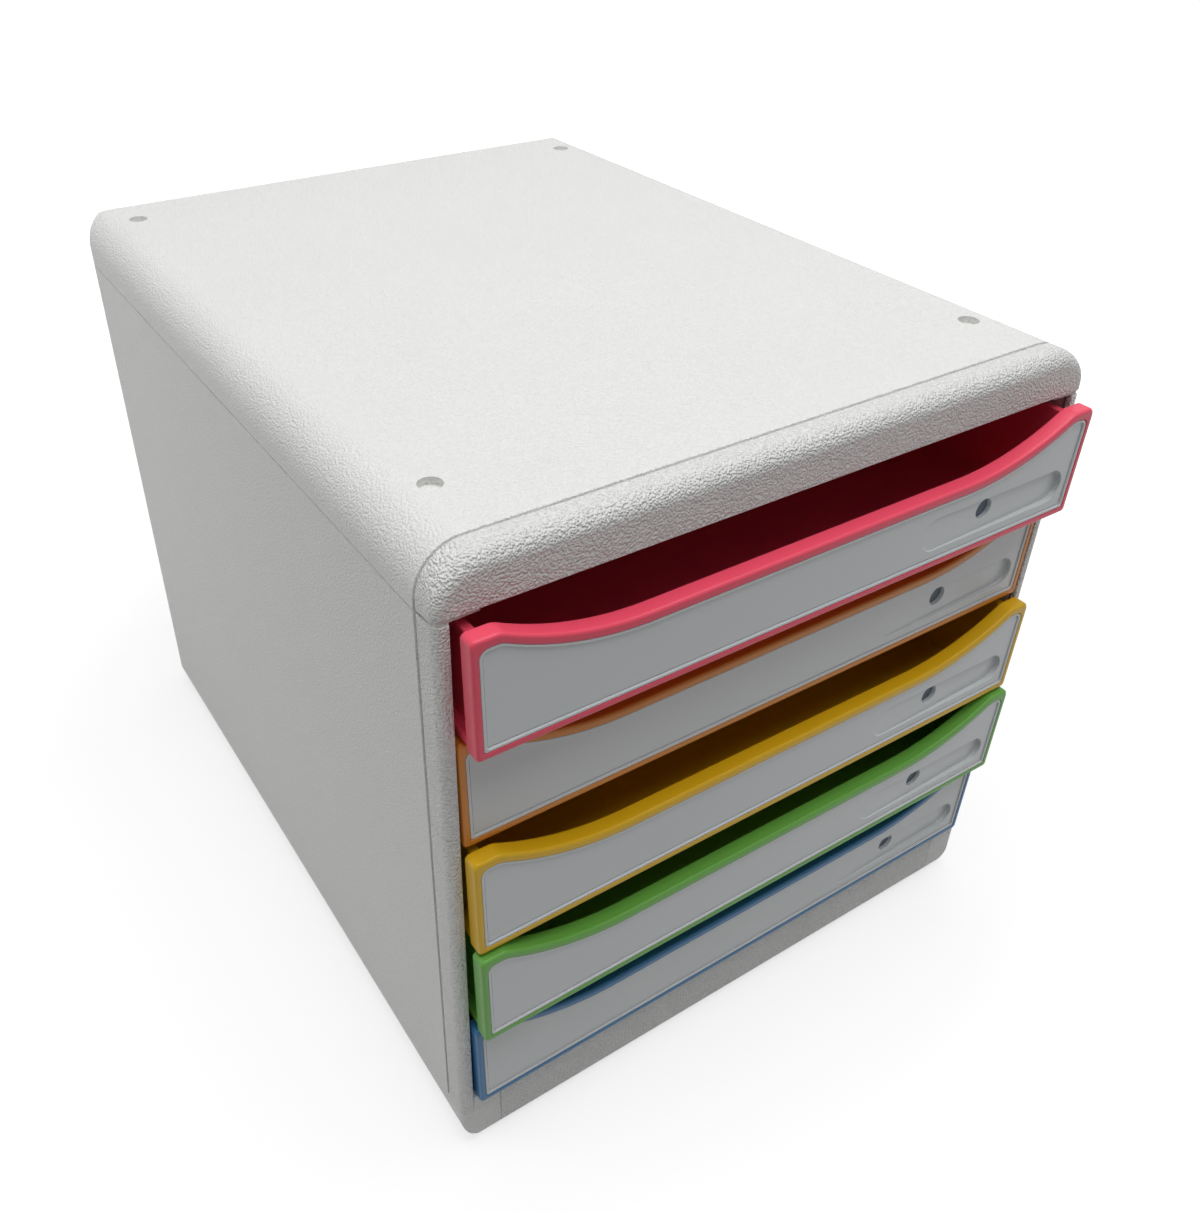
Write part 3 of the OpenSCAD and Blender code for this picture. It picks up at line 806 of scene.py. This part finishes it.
class TOWER_OT_plates(TowerOperator, bpy.types.Operator):
    """Builds the front plates with their slots and peep holes"""

    bl_idname = "tower.plates"
    bl_label = "Front plates"

    def build(self, scene):
        values = scene.tower_plates
        finish = moulded_plastic(
            "plate_plastic", values.colour, grain=2.5 * MM, depth=0.006 * MM, roughness=0.3
        )
        for number in DRAWERS:
            node = f"front_plate_{number}"
            front_y, foot_z = front_place(f"tray_{number}")
            face_y = front_y + values.sink + values.rim_height
            shape = bmesh.new()
            self.add_plate(shape, scene.tower_drawers, values, face_y, foot_z)
            turned_out(shape, shape.faces[:])
            put_in_scene(shape, node + "_moulding", f"drawer_{number}", "front_plate", finish, node)

    def add_plate(self, shape, front, values, face_y, foot_z):
        """The plate, from its raised rim over the ramped slot to the skirt and the boss behind."""
        sides = front.border_side, front.border_foot, front.border_top
        border = tuple(b + values.gap for b in sides)
        top_y = face_y - values.rim_height - values.rim_proud
        tall = values.rim_height + values.rim_proud

        def loop(y, inset):
            inner = tuple(b + inset for b in border)
            corner = max(values.corner_radius - inset, values.foot_radius)
            return front_loop(shape, front, y, foot_z, inner, corner, values.foot_radius)

        outer, inner = loop(top_y, 0), loop(top_y, values.rim_width)
        bmesh.ops.bridge_loops(shape, edges=[*outer, *inner])
        trench = drawn_back(shape, inner, tall + values.groove_depth)
        face = loop(face_y + values.groove_depth, values.rim_width + values.groove_width)
        fill_between(shape, [*trench, *face])
        face = drawn_back(shape, face, -values.groove_depth)
        slot = self.slot_loop(
            shape, values, face_y, foot_z, values.slot_edge, SLOT_SIDE_STEPS
        )
        fill_between(shape, [*face, *slot])
        ramp = self.sink_slot(shape, slot, values, face_y, foot_z)
        hole = self.hole_loop(shape, values, face_y, foot_z)
        fill_between(shape, [*ramp, *hole])

        foot = drawn_back(shape, outer, tall + values.skirt_depth)
        skirt = loop(face_y + values.skirt_depth, values.wall + values.gap)
        fill_between(shape, [*foot, *skirt])
        under = drawn_back(shape, skirt, values.wall - values.skirt_depth)
        boss = self.slot_loop(shape, values, face_y + values.wall, foot_z, values.wall)
        fill_between(shape, [*under, *boss])
        end = drawn_back(shape, boss, values.boss_depth - values.wall)
        hole = self.sink_hole(shape, hole, values, face_y, foot_z)
        through = drawn_back(shape, hole, values.boss_depth)
        for vert in {v for e in through for v in e.verts}:
            vert.co.y = face_y + values.boss_depth
        fill_between(shape, [*end, *through])

        round_off(shape, [*outer, *inner], values.rim_radius, RIM_STEPS)

    def slot_centres(self, values):
        """Where the centres of the slot's two rounded ends lie."""
        return values.slot_start + values.slot_radius, values.slot_stop - values.slot_radius

    def slot_loop(self, shape, values, y, foot_z, margin, steps=1):
        """The slot's outline, grown by a margin, with its straight sides in so many steps."""
        reach = values.slot_radius + margin
        first, last = self.slot_centres(values)
        line = Outline(shape, first, values.slot_height - reach)
        line.run(last, values.slot_height - reach, steps)
        line.turn(last, values.slot_height, 180, SLOT_END_STEPS)
        line.run(first, values.slot_height + reach, steps)
        line.turn(first, values.slot_height, 180, SLOT_END_STEPS)
        return line.close(y, foot_z)

    def hole_loop(self, shape, values, face_y, foot_z):
        """The peep hole's outline on the ramp, where its rounded edge begins."""
        lowest = values.hole_height - values.hole_radius - values.edge_radius
        line = Outline(shape, values.hole_x, lowest)
        line.turn(values.hole_x, values.hole_height, 360, HOLE_STEPS)
        edges = line.close(face_y, foot_z)
        for vert in line.drawn():
            vert.co.y += self.ramp_depth(values, vert.co.x)
        return edges

    def ramp_depth(self, values, x):
        """How deep the ramp lies behind the face at a place across."""
        share = (x - values.slot_start) / (values.slot_stop - values.slot_start)
        return values.slot_lead + (values.slot_depth - values.slot_lead) * share

    def sink_hole(self, shape, loop, values, face_y, foot_z):
        """Draws the peep hole's outline down over its rounded edge, and gives the far edges."""
        centre = Vector((values.hole_x, 0, foot_z + values.hole_height))
        for turn in EDGE_TURNS:
            points, loop = new_wall(shape, loop)
            reach = values.hole_radius + values.edge_radius * (1 - math.sin(turn))
            fall = values.edge_radius * (1 - math.cos(turn))
            for vert in points:
                vert.co = centre + away_from(centre, vert.co) * reach
                vert.co.y = face_y + self.ramp_depth(values, vert.co.x) + fall
        return loop

    def sink_slot(self, shape, loop, values, face_y, foot_z):
        """Draws the slot's outline down over edge, wall and fillet, and gives the ramp's edges."""
        first, last = self.slot_centres(values)
        steps = [(True, turn) for turn in EDGE_TURNS] + [(False, turn) for turn in FILLET_TURNS]
        for on_edge, turn in steps:
            points, loop = new_wall(shape, loop)
            for vert in points:
                x = min(max(vert.co.x, first), last)
                spine = Vector((x, 0, foot_z + values.slot_height))
                out = away_from(spine, vert.co)
                depth = self.ramp_depth(values, spine.x + out.x * values.slot_radius)
                if on_edge:
                    edge = min(values.slot_edge, EDGE_SHARE * depth)
                    reach = values.slot_radius + values.slot_edge * (1 - math.sin(turn))
                    fall = edge * (1 - math.cos(turn))
                else:
                    fillet = min(values.slot_fillet, EDGE_SHARE * depth)
                    lean = values.slot_lean * max(0, out.x) ** 2
                    reach = values.slot_radius + lean - fillet * (1 - math.cos(turn))
                    ramp = self.ramp_depth(values, spine.x + out.x * reach)
                    fall = ramp - fillet * (1 - math.sin(turn))
                vert.co = spine + out * reach
                vert.co.y = face_y + fall
        return loop


class TOWER_OT_cards(TowerOperator, bpy.types.Operator):
    """Builds the label cards behind the plates"""

    bl_idname = "tower.cards"
    bl_label = "Label cards"

    def build(self, scene):
        values = scene.tower_plates
        # Pale paper cards, given a dark grey-blue as painted shade for the shade they lie in behind
        # the plates
        finish = moulded_plastic("card_board", values.card_colour, depth=0.01 * MM, roughness=0.7)
        for number in DRAWERS:
            node = f"label_card_{number}"
            put_in_scene(
                welded(node), node + "_sheet", f"drawer_{number}", "label_card", finish, node
            )


OPERATORS = (
    TOWER_OT_stage, TOWER_OT_casing, TOWER_OT_front_frame, TOWER_OT_runners,
    TOWER_OT_trays, TOWER_OT_plates, TOWER_OT_cards,
)


class TOWER_PT_sidebar(bpy.types.Panel):
    """Lists the settings and the steps"""

    bl_idname = "TOWER_PT_sidebar"
    bl_label = "Drawer tower"
    bl_space_type = "VIEW_3D"
    bl_region_type = "UI"
    bl_category = "Drawer tower"

    def draw(self, context):
        for group, settings in SETTINGS.items():
            box = self.layout.box()
            box.label(text=settings.__doc__)
            for name in settings.__annotations__:
                box.prop(getattr(context.scene, group), name)
        for operator in OPERATORS:
            self.layout.operator(operator.bl_idname)


CLASSES = (*SETTINGS.values(), *OPERATORS, TOWER_PT_sidebar)


def register():
    for made in CLASSES:
        bpy.utils.register_class(made)
    for group, settings in SETTINGS.items():
        setattr(bpy.types.Scene, group, PointerProperty(type=settings))


def unregister():
    for group in SETTINGS:
        delattr(bpy.types.Scene, group)
    for made in reversed(CLASSES):
        bpy.utils.unregister_class(made)


def main():
    register()
    for operator in OPERATORS:
        family, step = operator.bl_idname.split(".")
        getattr(getattr(bpy.ops, family), step)()


if __name__ == "__main__":
    main()
